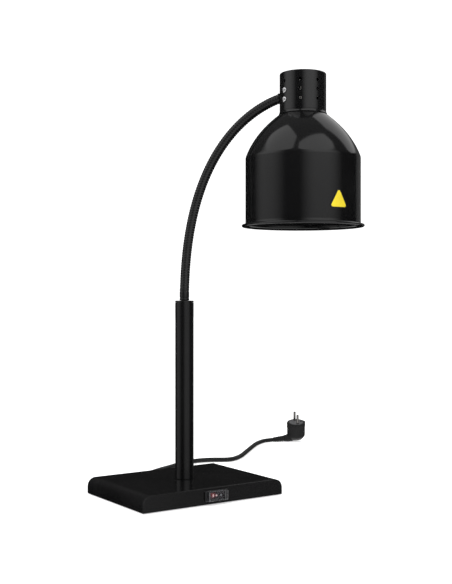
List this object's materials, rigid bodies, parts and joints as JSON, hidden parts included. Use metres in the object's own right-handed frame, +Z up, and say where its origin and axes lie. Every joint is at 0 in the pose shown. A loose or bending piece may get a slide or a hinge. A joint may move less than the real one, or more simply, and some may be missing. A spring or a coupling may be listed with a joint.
{
  "type": "heat lamp warmer",
  "caption": "Table-top food warming lamp: weighted flat base with a rocker switch, round column, bendable gooseneck and a round black metal shade over an infrared lamp.",
  "frame": {"origin": "on the table, under the centre of the box of base, column, arm and head", "axes": "+Z up along the column; -Y is the side with the rocker switch; +X to the right of someone who faces the switch"},
  "size_m": [0.6057, 0.5679, 0.6278],
  "materials": {
    "black_enamel": "gloss black enamel on sheet steel and tube",
    "shade_enamel": "spun aluminium with gloss black enamel",
    "hose_black": "black lacquered wound steel hose",
    "dark_steel": "plain steel plate",
    "steel": "zinc plated steel",
    "chrome": "bright plated",
    "rubber": "black rubber",
    "black_plastic": "fine textured black moulding",
    "red_plastic": "translucent red moulding",
    "clear_plastic": "soft clear moulding",
    "white_plastic": "white moulding",
    "ceramic": "glazed white porcelain",
    "brass": "nickel plated brass shell",
    "lamp_glass": "frosted face, silvered sides",
    "yellow_film": "plain yellow film"
  },
  "bodies": {
    "base": {"ballast_plate": "dark_steel", "base_cover": "black_enamel", "base_screw_1": "steel", "base_screw_2": "steel", "base_screw_3": "steel", "base_screw_4": "steel", "bottom_plate": "dark_steel", "column_cap": "black_enamel", "column_insert": "steel", "column_nut": "steel", "column_stud": "steel", "column_tube": "black_enamel", "cord_gland": "rubber", "foot_front_left": "rubber", "foot_front_right": "rubber", "foot_rear_left": "rubber", "foot_rear_right": "rubber", "front_panel": "black_enamel", "plug_body": "black_plastic", "plug_pin_1": "chrome", "plug_pin_2": "chrome", "plug_relief": "rubber", "power_cord": "rubber", "rear_panel": "black_enamel", "splash_cover": "clear_plastic", "standoff_1": "steel", "standoff_2": "steel", "standoff_3": "steel", "standoff_4": "steel", "switch_housing": "black_plastic", "terminal_block": "white_plastic"},
    "hose_1": {"hose_ferrule": "hose_black", "hose_segment_1": "hose_black"},
    "hose_2": {"hose_segment_2": "hose_black"},
    "hose_3": {"hose_segment_3": "hose_black"},
    "hose_4": {"hose_segment_4": "hose_black"},
    "hose_5": {"hose_segment_5": "hose_black"},
    "hose_6": {"hose_segment_6": "hose_black"},
    "hose_7": {"hose_segment_7": "hose_black"},
    "head": {"hose_segment_8": "hose_black", "hose_collar": "hose_black", "hose_lock_nut": "steel", "neck_housing": "shade_enamel", "shade": "shade_enamel", "label_plate": "yellow_film", "holder_bracket": "steel", "lamp_holder": "ceramic", "holder_stem": "steel", "holder_nut": "steel", "neck_screw_1": "chrome", "neck_screw_2": "chrome", "neck_screw_3": "chrome", "neck_screw_4": "chrome", "shade_screw_1": "steel", "shade_screw_2": "steel", "shade_screw_3": "steel"},
    "bulb": {"bulb_cap": "brass", "bulb_glass": "lamp_glass"},
    "rocker": {"rocker": "red_plastic"}
  },
  "joints": [
    {"name": "arm_swivel", "type": "hinge", "parent": "base", "child": "hose_1", "pos_m": [-0.04931, 0.06606, 0.2923], "axis": [0, 0, 1], "range_deg": [-45, 45]},
    {"name": "lower_bend", "type": "hinge", "parent": "hose_1", "child": "hose_2", "pos_m": [-0.04747, 0.06422, 0.3523], "axis": [0.7071, 0.7071, 0], "range_deg": [-5, 4]},
    {"name": "lower_bend_2", "type": "hinge", "parent": "hose_2", "child": "hose_3", "pos_m": [-0.04364, 0.06039, 0.39421], "axis": [0.7071, 0.7071, 0], "range_deg": [-5, 4]},
    {"name": "lower_bend_3", "type": "hinge", "parent": "hose_3", "child": "hose_4", "pos_m": [-0.03713, 0.05388, 0.43546], "axis": [0.7071, 0.7071, 0], "range_deg": [-5, 4]},
    {"name": "lower_bend_4", "type": "hinge", "parent": "hose_4", "child": "hose_5", "pos_m": [-0.02734, 0.04409, 0.47537], "axis": [0.7071, 0.7071, 0], "range_deg": [-5, 4]},
    {"name": "upper_bend", "type": "hinge", "parent": "hose_5", "child": "hose_6", "pos_m": [-0.01363, 0.03038, 0.51289], "axis": [0.7071, 0.7071, 0], "range_deg": [-8, 5]},
    {"name": "upper_bend_2", "type": "hinge", "parent": "hose_6", "child": "hose_7", "pos_m": [0.00449, 0.01226, 0.54643], "axis": [0.7071, 0.7071, 0], "range_deg": [-8, 5]},
    {"name": "upper_bend_3", "type": "hinge", "parent": "hose_7", "child": "head", "pos_m": [0.02718, -0.01043, 0.5738], "axis": [0.7071, 0.7071, 0], "range_deg": [-8, 5]},
    {"name": "bulb_removal", "type": "slide", "parent": "head", "child": "bulb", "axis": [0, 0, -1], "range_m": [0, 0.018]},
    {"name": "rocker_switch", "type": "hinge", "parent": "base", "child": "rocker", "pos_m": [-0.04931, -0.01594, 0.0133], "axis": [0, 0, 1], "range_deg": [0, 14]}
  ],
  "couplings": [
    {"joint": "lower_bend_2", "follows": "lower_bend", "ratio": 1},
    {"joint": "lower_bend_3", "follows": "lower_bend", "ratio": 1},
    {"joint": "lower_bend_4", "follows": "lower_bend", "ratio": 1},
    {"joint": "upper_bend_2", "follows": "upper_bend", "ratio": 1},
    {"joint": "upper_bend_3", "follows": "upper_bend", "ratio": 1}
  ]
}
